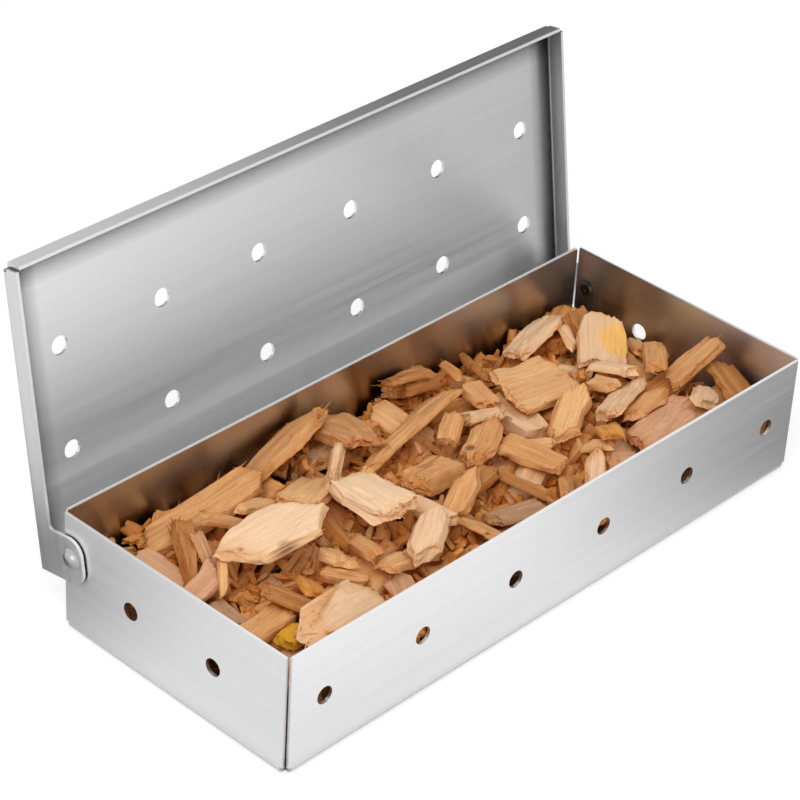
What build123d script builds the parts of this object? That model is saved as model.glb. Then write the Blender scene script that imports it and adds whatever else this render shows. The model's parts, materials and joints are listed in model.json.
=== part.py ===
# Grill smoker box: a folded stainless tray with a hinged, vented lid, shown open over its
# filling of wood chips.
# X runs along the box, Y from front to back and Z up.
# The origin is the centre of the tray's underside.
from build123d import *
from math import cos, radians, sin
import os
import numpy as np

# Sheet and folds
sheet = 1.0
bend_inside = 0.6
corner_seam = 0.3
corner_relief = 2.3
rim_ease = 0.2
cut_overrun = 2.0

# Tray
tray_length = 222.0
tray_width = 92.0
tray_height = 40.5
vent_diameter = 5.7
vent_height = 21.0
front_vents = 6
front_vent_pitch = 38.7
end_wall_vents = 2
end_wall_vent_pitch = 33.7
back_corner_radius = 1.2

# Lid, given in its own frame: along from the rear edge to the front, and down from the panel
lid_end_gap = 0.5
lid_front_gap = 1.25
lid_rear_overhang = 2.5
lid_rim_gap = 1.3
lid_flange_depth = 6.5
lid_open_angle = 98.35
lid_vent_diameter = 5.8
lid_vent_columns = 6
lid_vent_column_pitch = 38.6
lid_vent_rows = 2
lid_vent_row_pitch = 33.2
lid_vent_setback = 32.2
ear_reach = 15.0
ear_depth = 19.8
ear_corner_radius = 5.2
ear_root_radius = 1.5

# Hinge rivets
hinge_inset = 5.9
hinge_drop = 13.3
rivet_diameter = 4.0
rivet_head_diameter = 7.0
rivet_head_height = 1.9
rivet_tail_diameter = 5.2
rivet_tail_height = 1.2
rivet_tail_round = 0.5
rivet_bore_diameter = 2.7
rivet_bore_depth = 2.4
running_clearance = 0.05
head_clearance = 0.08

# Wood chips
chip_length = 40.0
chip_width = 14.0
chip_thickness = 3.2
chip_gap = 0.25
side_gap = 0.5
rivet_gap = 0.4
brim_gap = 0.9
top_layer_depth = 11.5
bed_chip_length = 36.0
bed_chip_width = 17.0
bed_chip_thickness = 7.0
bed_size_spread_share = 0.2
bed_shrink_share = 0.5
bed_chip_tries = 280
bed_pitch = 4
bed_roll = 6
bed_zones_along = 4
bed_zones_across = 2
small_chip_share = 0.25

# What follows from the sizes above
bend_outside = bend_inside + sheet
hinge_y = tray_width / 2 - hinge_inset
hinge_z = tray_height - hinge_drop
hinge_along = hinge_inset + lid_rear_overhang
hinge_down = hinge_drop + lid_rim_gap + sheet
lid_length = tray_length + 2 * (lid_end_gap + sheet)
lid_width = tray_width + lid_rear_overhang + lid_front_gap + sheet

os.makedirs("parts", exist_ok=True)


def cross_section(frame, x):
    """The plane square to the box's length, with the frame's y across and its z up."""
    centre = frame.from_local_coords((x, 0, 0))
    return Plane(origin=centre, x_dir=frame.y_dir, z_dir=frame.x_dir)


def long_section(frame, y):
    """The plane square to the box's width, with the length across and the frame's z up."""
    centre = frame.from_local_coords((0, y, 0))
    return Plane(origin=centre, x_dir=frame.x_dir, z_dir=-frame.y_dir)


def folded_channel(plane, width, depth):
    """Section of a sheet with both sides folded up, rounded inside and outside the bends."""
    with BuildSketch(plane) as channel:
        Rectangle(width, depth, align=(Align.CENTER, Align.MIN))
        fillet(channel.vertices().group_by(Axis.Y)[0], bend_outside)
        with Locations((0, sheet)):
            Rectangle(
                width - 2 * sheet, depth, align=(Align.CENTER, Align.MIN), mode=Mode.SUBTRACT
            )
        inner_corners = channel.vertices().sort_by(lambda corner: abs(corner.Y - sheet))[:2]
        fillet(inner_corners, bend_inside)
    return channel.sketch


# Tray: one sheet folded up on four sides, with open seams and relieved corners.
tray_frame = Plane.XY
long_wall_half = tray_length / 2 - sheet - corner_seam
end_wall_half = tray_width / 2 - sheet - corner_seam

with BuildPart() as tray:
    long_fold = folded_channel(cross_section(tray_frame, 0), tray_width, tray_height)
    extrude(long_fold, amount=long_wall_half, both=True)
    back_corners = tray.edges().filter_by(Axis.Y).group_by(Axis.Z)[-1].group_by(Axis.Y)[-1]
    fillet(back_corners, back_corner_radius)
    end_fold = folded_channel(long_section(tray_frame, 0), tray_length, tray_height)
    extrude(end_fold, amount=end_wall_half, both=True)
    with GridLocations(tray_length, tray_width, 2, 2):
        Box(2 * corner_relief, 2 * corner_relief, 2 * corner_relief, mode=Mode.SUBTRACT)
    rim = tray.faces().group_by(Axis.Z)[-1]
    chamfer(rim.edges(), rim_ease)
    with BuildSketch(Plane.XZ.offset(tray_width / 2 - cut_overrun)):
        with Locations((0, vent_height)):
            with GridLocations(front_vent_pitch, vent_height, front_vents, 1):
                Circle(vent_diameter / 2)
    extrude(amount=2 * cut_overrun, mode=Mode.SUBTRACT)
    with BuildSketch(Plane.YZ.offset(-tray_length / 2 - cut_overrun)):
        with Locations((0, vent_height)):
            with GridLocations(end_wall_vent_pitch, vent_height, end_wall_vents, 1):
                Circle(vent_diameter / 2)
        with Locations((hinge_y, hinge_z)):
            Circle(rivet_diameter / 2 + running_clearance)
    extrude(amount=tray_length + 2 * cut_overrun, mode=Mode.SUBTRACT)

# Lid: one sheet folded down at the front and the ends, with two rows of vents and a hinge
# ear at the rear of each end flange. Its frame swings open about the hinge rivets.
opening = radians(lid_open_angle)
along = Vector(0, -cos(opening), sin(opening))
down = Vector(0, -sin(opening), -cos(opening))
hinge_point = Vector(0, hinge_y, hinge_z)
rear_edge = hinge_point - along * hinge_along - down * hinge_down
lid_frame = Plane(origin=rear_edge, x_dir=(1, 0, 0), z_dir=down)
end_flange_run = lid_width - sheet - corner_seam
front_flange_half = lid_length / 2 - sheet - corner_seam
vent_centre = lid_vent_setback + lid_vent_row_pitch * (lid_vent_rows - 1) / 2

with BuildPart() as lid:
    end_flanges = folded_channel(long_section(lid_frame, 0), lid_length, lid_flange_depth)
    extrude(end_flanges, amount=-end_flange_run)
    with BuildSketch(cross_section(lid_frame, 0)) as front_fold:
        Rectangle(lid_width, lid_flange_depth, align=Align.MIN)
        front_corner = front_fold.vertices().group_by(Axis.Y)[0].sort_by(Axis.X)[-1]
        fillet(front_corner, bend_outside)
        with Locations((-cut_overrun, sheet)):
            Rectangle(
                lid_width - sheet + cut_overrun,
                lid_flange_depth,
                align=Align.MIN,
                mode=Mode.SUBTRACT,
            )
        inner_corner = front_fold.vertices().sort_by_distance((lid_width - sheet, sheet))[0]
        fillet(inner_corner, bend_inside)
    extrude(amount=front_flange_half, both=True)
    for side in (-1, 1):
        with BuildSketch(cross_section(lid_frame, side * lid_length / 2)) as ear:
            with Locations((0, bend_outside)):
                Rectangle(end_flange_run, lid_flange_depth - bend_outside, align=Align.MIN)
                Rectangle(ear_reach, ear_depth - bend_outside, align=Align.MIN)
            fillet(ear.vertices().group_by(Axis.Y)[-1], ear_corner_radius)
            root = ear.vertices().sort_by_distance((ear_reach, lid_flange_depth))[0]
            fillet(root, ear_root_radius)
            with Locations((hinge_along, hinge_down)):
                Circle(rivet_diameter / 2 + running_clearance, mode=Mode.SUBTRACT)
        extrude(amount=-side * sheet)
    with BuildSketch(lid_frame.offset(-cut_overrun)):
        with Locations((0, vent_centre)):
            with GridLocations(
                lid_vent_column_pitch, lid_vent_row_pitch, lid_vent_columns, lid_vent_rows
            ):
                Circle(lid_vent_diameter / 2)
    extrude(amount=sheet + 2 * cut_overrun, mode=Mode.SUBTRACT)
    with BuildSketch(lid_frame.offset(-cut_overrun)):
        with Locations((0, lid_width)):
            with GridLocations(lid_length, lid_width, 2, 1):
                Rectangle(2 * corner_relief, 2 * corner_relief)
    extrude(amount=corner_relief + cut_overrun, mode=Mode.SUBTRACT)


def hinge_rivet(side):
    """Semi-tubular rivet: domed head outside the ear, hollow tail rolled over inside."""
    head_seat = lid_length / 2 + head_clearance
    tail_seat = tray_length / 2 - sheet
    tail_end = tail_seat - rivet_tail_height
    dome_top = head_seat + rivet_head_height
    bore_end = tail_end + rivet_bore_depth
    head_radius = rivet_head_diameter / 2
    shank_radius = rivet_diameter / 2
    tail_radius = rivet_tail_diameter / 2
    bore_radius = rivet_bore_diameter / 2
    profile_plane = Plane(origin=hinge_point, x_dir=(side, 0, 0), z_dir=(0, -side, 0))
    with BuildPart() as rivet:
        with BuildSketch(profile_plane) as profile:
            with BuildLine():
                RadiusArc((dome_top, 0), (head_seat, head_radius), -head_radius)
                Polyline(
                    (head_seat, head_radius),
                    (head_seat, shank_radius),
                    (tail_seat, shank_radius),
                    (tail_seat, tail_radius),
                    (tail_end, tail_radius),
                    (tail_end, bore_radius),
                    (bore_end, bore_radius),
                    (bore_end + bore_radius / 2, 0),
                    (dome_top, 0),
                )
            make_face()
            tail_corner = profile.vertices().sort_by_distance((tail_end, tail_radius))[0]
            fillet(tail_corner, rivet_tail_round)
        revolve(axis=Axis(hinge_point, (1, 0, 0)))
    return rivet


for piece, piece_name in ((tray, "tray"), (lid, "lid")):
    piece.part.label = piece_name
    export_step(piece.part, f"parts/{piece_name}.step")
for side, piece_name in ((-1, "rivet_left"), (1, "rivet_right")):
    rivet = hinge_rivet(side)
    rivet.part.label = piece_name
    export_step(rivet.part, f"parts/{piece_name}.step")

# Wood chips: flat-sided slivers and blocks of split wood, heaped at random. Each outline is
# given in shares of a chip's length and width, with the grain along the length.
outline_shares = {
    "slab": (
        (-0.50, -0.30), (-0.38, -0.50), (0.42, -0.50), (0.50, -0.10), (0.44, 0.48), (-0.34, 0.50)
    ),
    "blade": (
        (-0.50, 0.06), (-0.22, -0.50), (0.26, -0.46), (0.50, -0.08), (0.20, 0.50), (-0.30, 0.42)
    ),
    "block": (
        (-0.50, -0.44), (0.47, -0.50), (0.50, 0.40), (0.12, 0.50), (-0.46, 0.46)
    ),
    "wedge": (
        (-0.50, -0.16), (-0.40, -0.34), (0.50, -0.50), (0.47, 0.46), (0.30, 0.50), (-0.48, 0.14)
    ),
    "splint": (
        (-0.50, -0.05), (-0.30, -0.50), (0.46, -0.32), (0.50, 0.10), (0.34, 0.50), (-0.44, 0.30)
    ),
}
outline_tapers = {"slab": 14, "blade": 20, "block": 8, "wedge": 16, "splint": 24}

inner_length = tray_length - 2 * sheet
inner_width = tray_width - 2 * sheet
chip_box_length = inner_length - 2 * (rivet_tail_height + rivet_gap)
chip_box_width = inner_width - 2 * side_gap
brim = tray_height - brim_gap
bed_level = brim - top_layer_depth

# How a chip is tried at tilts near the one asked for, and how much a corner above the brim counts
tilt_steps = (8, 3)
tilt_reach = 24
proud_cost_share = 5
level = 1e-9


def chip_blank(length, width, thickness, outline):
    """A chip lying level with its grain along X and its middle at the origin."""
    points = [
        (length * along_share, width * across_share)
        for along_share, across_share in outline_shares[outline]
    ]
    with BuildPart() as blank:
        with BuildSketch(Plane.XY.offset(-thickness / 2)):
            Polygon(*points, align=None)
        extrude(amount=thickness, taper=outline_tapers[outline])
    return blank.part


def turned(heading, pitch, roll):
    """Rows of a chip's own axes after it rolls about its grain, pitches and turns to its heading."""
    spin, nose, bank = radians(heading), radians(pitch), radians(roll)
    rolled = np.array([[1, 0, 0], [0, cos(bank), sin(bank)], [0, -sin(bank), cos(bank)]])
    pitched = np.array([[cos(nose), 0, sin(nose)], [0, 1, 0], [-sin(nose), 0, cos(nose)]])
    headed = np.array([[cos(spin), sin(spin), 0], [-sin(spin), cos(spin), 0], [0, 0, 1]])
    return rolled @ pitched @ headed


class FlatSided:
    """Corners, edges and sides of a convex solid, as numbers for the heaping sums."""

    def __init__(self, solid):
        self.corners = np.array([tuple(corner) for corner in solid.vertices()])
        self.edges = np.array([[tuple(edge @ 0), tuple(edge @ 1)] for edge in solid.edges()])
        self.normals = np.array([tuple(side.normal_at()) for side in solid.faces()])
        middles = np.array([tuple(side.center()) for side in solid.faces()])
        self.reaches = np.sum(self.normals * middles, axis=1)

    def placed(self, axes, shift):
        """A copy turned to the given axes and then moved."""
        copy = object.__new__(FlatSided)
        copy.corners = self.corners @ axes + shift
        copy.edges = self.edges @ axes + shift
        copy.normals = self.normals @ axes
        copy.reaches = self.reaches + copy.normals @ shift
        copy.lowest, copy.highest = copy.corners.min(axis=0), copy.corners.max(axis=0)
        return copy

    def lows_and_highs(self, points):
        """Underside and top of the solid over each point, with the top below where it misses."""
        rise = self.normals[:, 2]
        room = self.reaches - points[:, :2] @ self.normals[:, :2].T
        heights = room / np.where(abs(rise) > level, rise, 1)
        highs = np.min(np.where(rise > level, heights, np.inf), axis=1)
        lows = np.max(np.where(rise < -level, heights, -np.inf), axis=1)
        missed = np.any((abs(rise) <= level) & (room < 0), axis=1)
        return lows, np.where(missed, -np.inf, highs)


def lift_over(above, below):
    """How far one solid must rise so that it just clears another that it would land on."""
    lifts = [-np.inf]
    lows, highs = below.lows_and_highs(above.corners)
    lifts.extend((highs - above.corners[:, 2])[highs >= lows])
    lows, highs = above.lows_and_highs(below.corners)
    lifts.extend((below.corners[:, 2] - lows)[highs >= lows])
    start_a, run_a = above.edges[:, None, 0], above.edges[:, None, 1] - above.edges[:, None, 0]
    start_b, run_b = below.edges[None, :, 0], below.edges[None, :, 1] - below.edges[None, :, 0]
    apart = start_b - start_a
    spread = run_a[..., 0] * run_b[..., 1] - run_a[..., 1] * run_b[..., 0]
    spread = np.where(abs(spread) > level, spread, np.inf)
    share_a = (apart[..., 0] * run_b[..., 1] - apart[..., 1] * run_b[..., 0]) / spread
    share_b = (apart[..., 0] * run_a[..., 1] - apart[..., 1] * run_a[..., 0]) / spread
    crossing = (share_a > 0) & (share_a < 1) & (share_b > 0) & (share_b < 1)
    drop = apart[..., 2] + share_b * run_b[..., 2] - share_a * run_a[..., 2]
    lifts.extend(drop[crossing])
    return max(lifts)


def landed(shape, axes, x, y, heap):
    """The solid turned, kept inside the walls, and lowered onto the floor or the heap."""
    reach = np.abs(shape.corners @ axes).max(axis=0)
    far_x = max(chip_box_length / 2 - reach[0], 0)
    far_y = max(chip_box_width / 2 - reach[1], 0)
    shift = np.array([min(max(x, -far_x), far_x), min(max(y, -far_y), far_y), 0])
    hanging = shape.placed(axes, shift)
    lowest, highest = hanging.corners.min(axis=0), hanging.corners.max(axis=0)
    lift = sheet - lowest[2]
    for lying in heap:
        beneath = lying.highest[2] - lowest[2] > lift
        beneath &= np.all(lying.highest[:2] > lowest[:2])
        beneath &= np.all(lying.lowest[:2] < highest[:2])
        if beneath:
            lift = max(lift, lift_over(hanging, lying))
    shift[2] = lift + chip_gap
    return shift


def settled(shape, heading, pitch, roll, x, y, heap):
    """The tilt near the given one in which the chip's middle lies lowest, and its place."""
    best = None
    for step in tilt_steps:
        moved = True
        while moved:
            moved = False
            start_pitch, start_roll = (pitch, roll) if best is None else best[3:]
            for pitch_turn, roll_turn in ((0, 0), (step, 0), (-step, 0), (0, step), (0, -step)):
                new_pitch, new_roll = start_pitch + pitch_turn, start_roll + roll_turn
                if max(abs(new_pitch - pitch), abs(new_roll - roll)) > tilt_reach:
                    continue
                axes = turned(heading, new_pitch, new_roll)
                shift = landed(shape, axes, x, y, heap)
                top = shift[2] + (shape.corners @ axes)[:, 2].max()
                cost = shift[2] + proud_cost_share * max(top - brim, 0)
                if best is None or cost < best[0] - chip_gap / 4:
                    best = (cost, axes, shift, new_pitch, new_roll)
                    moved = True
    return best[1], best[2]


def chip_at(blank, axes, shift):
    """The chip's solid at its place in the heap."""
    seat = Plane(origin=tuple(shift), x_dir=tuple(axes[0]), z_dir=tuple(axes[2]))
    with BuildPart() as chip:
        with Locations(seat):
            add(blank)
    return chip.part


def zone_of(shift):
    """Which part of the tray a buried chip lies in, counted along and across."""
    along_zone = int((shift[0] / inner_length + 1 / 2) * bed_zones_along)
    across_zone = int((shift[1] / inner_width + 1 / 2) * bed_zones_across)
    return f"chip_bed_{'front' if across_zone == 0 else 'back'}_{along_zone + 1}"


heap = []
chip_nodes = {}

# The buried chips are spread evenly and grow smaller upwards, each turned by the golden angle
# from the one before, and those that would lie above the bed's level are left out.
golden_angle = 137.5
along_step_share = 0.7549
across_step_share = 0.5698
for count in range(bed_chip_tries):
    x = (count * along_step_share % 1 - 1 / 2) * inner_length
    y = (count * across_step_share % 1 - 1 / 2) * inner_width
    size_share = 1 - bed_shrink_share * count / bed_chip_tries
    blank = chip_blank(
        bed_chip_length * size_share * (1 + bed_size_spread_share * sin(count)),
        bed_chip_width * size_share * (1 + bed_size_spread_share * cos(2 * count)),
        bed_chip_thickness * size_share * (1 + bed_size_spread_share * sin(3 * count)),
        list(outline_shares)[count % len(outline_shares)],
    )
    shape = FlatSided(blank)
    heading, pitch, roll = count * golden_angle, bed_pitch * sin(5 * count), bed_roll * cos(7 * count)
    axes, shift = settled(shape, heading, pitch, roll, x, y, heap)
    lying = shape.placed(axes, shift)
    if lying.highest[2] < bed_level:
        heap.append(lying)
        chip_nodes.setdefault(zone_of(shift), []).append(chip_at(blank, axes, shift))

# The chips on top, in the order in which they lie on each other. Each row gives the place
# along and across the tray, the length, width and thickness, the heading, pitch and roll in
# degrees, and the outline. Places are shares of the inside of the tray and sizes are shares
# of the chip's named sizes. A small one shares the node of its zone of the bed.
top_chip_shares = (
    (-0.45, -0.10, 0.45, 0.60, 0.8, 80, 14, 10, "slab"),
    (-0.44, -0.24, 0.46, 0.70, 1.0, 5, -6, 8, "block"),
    (-0.46, -0.39, 0.40, 0.70, 0.8, 20, 0, -8, "wedge"),
    (-0.43, -0.34, 0.36, 0.66, 0.8, 8, 4, -20, "slab"),
    (-0.01, -0.33, 0.52, 0.86, 1.0, -12, 4, -12, "block"),
    (-0.08, -0.35, 0.44, 0.70, 0.8, 80, 10, 6, "slab"),
    (-0.23, -0.36, 0.48, 0.72, 0.8, 75, 12, -8, "slab"),
    (-0.21, -0.27, 0.34, 0.60, 0.8, 10, 6, 10, "block"),
    (0.04, -0.26, 0.70, 0.36, 0.8, 90, -6, 20, "splint"),
    (0.09, -0.35, 0.46, 0.50, 0.8, 45, 6, 24, "blade"),
    (0.14, -0.36, 0.44, 0.50, 0.8, 40, 0, 20, "blade"),
    (0.20, -0.38, 0.40, 0.64, 0.8, 0, 0, -6, "slab"),
    (0.18, -0.27, 0.38, 0.44, 0.7, -60, -8, 10, "slab"),
    (0.21, -0.26, 0.32, 0.64, 0.5, 60, 6, 12, "block"),
    (0.30, -0.33, 0.86, 1.00, 1.0, 8, 3, -12, "slab"),
    (0.38, -0.35, 0.60, 0.72, 0.9, 30, 3, 6, "blade"),
    (0.46, -0.32, 0.52, 1.00, 0.8, 75, 8, 36, "slab"),
    (0.30, -0.23, 0.62, 0.60, 0.8, 5, 3, 10, "blade"),
    (0.42, -0.20, 0.64, 0.80, 0.9, -5, -3, 8, "slab"),
    (0.29, -0.15, 0.86, 0.80, 1.0, 23, 4, -10, "slab"),
    (0.22, -0.07, 0.88, 0.72, 1.0, 27, 4, 10, "blade"),
    (0.10, -0.17, 0.56, 0.74, 0.7, -72, 4, 6, "block"),
    (0.13, -0.06, 0.58, 0.46, 0.7, -75, -4, 24, "wedge"),
    (-0.01, -0.14, 0.46, 0.60, 0.9, 5, 2, -6, "slab"),
    (-0.05, -0.17, 0.62, 0.66, 0.9, 17, 2, 10, "blade"),
    (-0.10, -0.17, 0.46, 0.54, 0.9, 105, 8, 10, "slab"),
    (-0.04, -0.02, 0.52, 0.96, 1.9, 10, 2, -14, "block"),
    (0.06, -0.02, 0.60, 0.80, 1.1, 25, 3, 10, "blade"),
    (-0.12, 0.10, 0.40, 0.60, 1.0, 30, 6, 8, "block"),
    (0.10, 0.10, 0.42, 0.80, 1.3, 0, 6, -10, "block"),
    (0.04, 0.08, 0.30, 0.54, 1.0, 30, 6, 8, "block"),
    (0.31, -0.03, 0.34, 0.50, 0.8, 85, 4, 6, "block"),
    (0.34, -0.02, 0.44, 0.60, 0.8, 95, 3, -5, "slab"),
    (0.41, -0.06, 0.64, 0.58, 0.9, 42, 10, 14, "slab"),
    (0.10, 0.42, 0.42, 1.00, 1.8, 5, 4, -20, "block"),
    (0.08, 0.37, 0.54, 0.62, 0.8, 0, 5, -16, "wedge"),
    (0.15, 0.20, 0.42, 0.66, 0.8, 75, 8, 14, "slab"),
    (0.21, 0.35, 0.72, 0.44, 0.8, 60, 8, 24, "splint"),
    (0.165, 0.36, 0.46, 0.32, 0.8, 62, 8, 20, "splint"),
    (0.015, 0.22, 1.22, 0.82, 0.8, 12, 3, -14, "wedge"),
    (-0.06, 0.36, 0.60, 1.20, 1.2, 80, -6, 5, "block"),
    (-0.15, 0.42, 1.08, 0.84, 1.2, 8, 4, -18, "blade"),
    (-0.33, 0.34, 1.24, 0.90, 1.1, 1, 3, -18, "slab"),
    (-0.45, 0.18, 0.62, 0.80, 1.0, 100, 6, 12, "slab"),
    (-0.41, 0.18, 0.72, 0.52, 1.0, 53, 10, 20, "wedge"),
    (-0.39, 0.15, 0.36, 0.44, 0.8, 65, 14, 12, "splint"),
    (-0.33, 0.16, 0.34, 0.46, 0.8, 0, 4, -8, "slab"),
    (-0.34, 0.23, 0.40, 0.38, 0.8, -42, 12, 10, "slab"),
    (-0.28, 0.22, 0.46, 0.66, 0.7, 5, 4, -8, "wedge"),
    (-0.20, 0.17, 0.82, 1.00, 0.9, 28, 5, -8, "slab"),
    (-0.14, 0.19, 0.50, 0.36, 0.8, 35, 8, -10, "splint"),
    (-0.44, 0.03, 0.52, 0.64, 0.7, 15, 3, -5, "slab"),
    (-0.42, -0.01, 0.52, 0.28, 0.4, 45, 3, 6, "splint"),
    (-0.38, -0.23, 0.60, 0.74, 1.2, -42, -3, -14, "wedge"),
    (-0.33, -0.18, 0.36, 0.64, 0.8, 60, 4, 8, "block"),
    (-0.28, -0.20, 0.38, 0.38, 0.8, -45, 6, 12, "slab"),
    (-0.27, -0.14, 0.30, 0.60, 1.0, 75, 6, 10, "block"),
    (-0.23, -0.17, 0.40, 0.46, 0.95, 72, 4, 10, "slab"),
    (-0.34, -0.35, 0.76, 1.06, 0.8, 18, 3, -6, "wedge"),
    (-0.15, -0.26, 0.76, 0.74, 1.0, 30, 3, -10, "blade"),
    (-0.16, -0.04, 0.62, 1.36, 1.4, 85, -6, 5, "block"),
    (-0.32, 0.03, 1.00, 1.40, 0.9, -6, 3, -7, "blade"),
    (0.23, 0.13, 0.84, 1.36, 0.7, 3, 3, -6, "slab"),
    (0.33, 0.34, 0.92, 0.80, 0.9, 20, 5, -12, "slab"),
    (0.40, 0.26, 0.42, 0.70, 1.3, 75, 8, 12, "block"),
    (0.39, 0.14, 0.58, 1.20, 0.8, 45, 4, -6, "block"),
    (0.36, 0.24, 0.36, 0.40, 0.7, 55, 8, 6, "blade"),
    (0.46, 0.12, 0.36, 0.40, 0.9, 55, 9, -5, "block"),
)
for count, row in enumerate(top_chip_shares, start=1):
    x_share, y_share, length_share, width_share, thickness_share = row[:5]
    heading, pitch, roll, outline = row[5:]
    blank = chip_blank(
        chip_length * length_share,
        chip_width * width_share,
        chip_thickness * thickness_share,
        outline,
    )
    shape = FlatSided(blank)
    x, y = x_share * inner_length, y_share * inner_width
    axes, shift = settled(shape, heading, pitch, roll, x, y, heap)
    lying = shape.placed(axes, shift)
    heap.append(lying)
    small = length_share * width_share < small_chip_share
    node = zone_of(shift) if small else f"wood_chip_{count:02d}"
    chip_nodes.setdefault(node, []).append(chip_at(blank, axes, shift))

for piece_name, solids in chip_nodes.items():
    chips = Compound(children=solids) if len(solids) > 1 else solids[0]
    chips.label = piece_name
    export_step(chips, f"parts/{piece_name}.step")
print(len(heap), "chips in", len(chip_nodes), "nodes")
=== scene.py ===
import json
import math
import bpy
import bmesh
import numpy as np
from mathutils import Matrix, Vector

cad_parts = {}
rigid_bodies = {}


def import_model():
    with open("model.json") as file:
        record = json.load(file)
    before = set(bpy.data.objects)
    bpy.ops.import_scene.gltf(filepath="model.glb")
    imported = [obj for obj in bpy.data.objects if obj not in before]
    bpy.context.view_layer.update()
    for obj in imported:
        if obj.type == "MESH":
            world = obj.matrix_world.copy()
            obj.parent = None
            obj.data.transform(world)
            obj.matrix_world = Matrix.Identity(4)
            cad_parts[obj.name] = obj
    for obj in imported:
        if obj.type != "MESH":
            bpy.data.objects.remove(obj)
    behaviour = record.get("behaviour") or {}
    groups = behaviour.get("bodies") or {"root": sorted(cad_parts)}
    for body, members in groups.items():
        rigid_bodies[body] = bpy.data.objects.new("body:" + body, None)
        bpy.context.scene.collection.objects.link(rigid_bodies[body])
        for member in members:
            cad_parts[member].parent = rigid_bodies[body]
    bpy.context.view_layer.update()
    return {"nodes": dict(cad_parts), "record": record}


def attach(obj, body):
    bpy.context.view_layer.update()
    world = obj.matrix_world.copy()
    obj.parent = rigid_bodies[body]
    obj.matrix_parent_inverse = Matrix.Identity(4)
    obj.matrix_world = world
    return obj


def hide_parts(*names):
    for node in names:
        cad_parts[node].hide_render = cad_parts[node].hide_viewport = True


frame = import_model()

# Tray: one sheet of brushed stainless steel, folded up on four sides with open seams at the
# corners. The brushing runs along each wall, so that the metal mirrors along the brushing
# and blurs across it.
steel_shade = (0.83, 0.83, 0.835)
steel_metallic = 1
end_wall_tilt = 0.7
roughness_spread = 0.05
cut_edge_metallic = 0.35
# Reach of the painted shade that darkens the steel's colour in its nooks
painted_shade_reach = 0.010
tray_rim_level = 0.04024

# Brushed lines to the metre, along and across the brushing
fine_lines = (25, 2600, 2600)
broad_lines = (9, 420, 420)


def connect(tree, socket, value):
    """Feeds a socket from another socket, or sets it to a plain value."""
    if isinstance(value, bpy.types.NodeSocket):
        tree.links.new(value, socket)
    else:
        socket.default_value = value


def adjust(tree, node, **settings):
    """Sets a node's properties, and sets or feeds its sockets, by their names."""
    for name, value in settings.items():
        if name in node.bl_rna.properties:
            setattr(node, name, value)
        else:
            connect(tree, node.inputs[name.replace("_", " ")], value)
    return node


def add_node(tree, kind, **settings):
    """A new node with its properties, and its sockets set or fed."""
    return adjust(tree, tree.nodes.new(kind), **settings)


def reckon(tree, operation, *values):
    """The result of a math node on sockets or plain numbers."""
    node = add_node(tree, "ShaderNodeMath", operation=operation)
    for socket, value in zip(node.inputs, values):
        connect(tree, socket, value)
    return node.outputs[0]


def reckon_vector(tree, operation, first, second):
    """The result of a vector math node, whose second value is a number where it scales."""
    node = add_node(tree, "ShaderNodeVectorMath", operation=operation)
    connect(tree, node.inputs[0], first)
    connect(tree, node.inputs["Scale" if operation == "SCALE" else 1], second)
    return node.outputs["Value" if operation == "DOT_PRODUCT" else "Vector"]


def remap(tree, source, start, stop, low, high, **settings):
    """A value carried from one span to another, and held at the ends."""
    spans = {"From_Min": start, "From_Max": stop, "To_Min": low, "To_Max": high}
    return add_node(tree, "ShaderNodeMapRange", Value=source, **spans, **settings).outputs[0]


def stretched_noise(tree, source, scale, detail, roughness, wander=0):
    """Noise whose waves to the metre differ along the three axes."""
    stretched = add_node(tree, "ShaderNodeMapping", Vector=source, Scale=scale)
    noise = add_node(
        tree, "ShaderNodeTexNoise", Vector=stretched.outputs[0], Scale=1, Detail=detail,
        Roughness=roughness, Distortion=wander,
    )
    return noise.outputs["Fac"]


def plain_material(name, **settings):
    """A new material, its tree and its one shader with the values given."""
    material = bpy.data.materials.new(name)
    material.use_nodes = True
    tree = material.node_tree
    return material, tree, adjust(tree, tree.nodes["Principled BSDF"], **settings)


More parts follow.
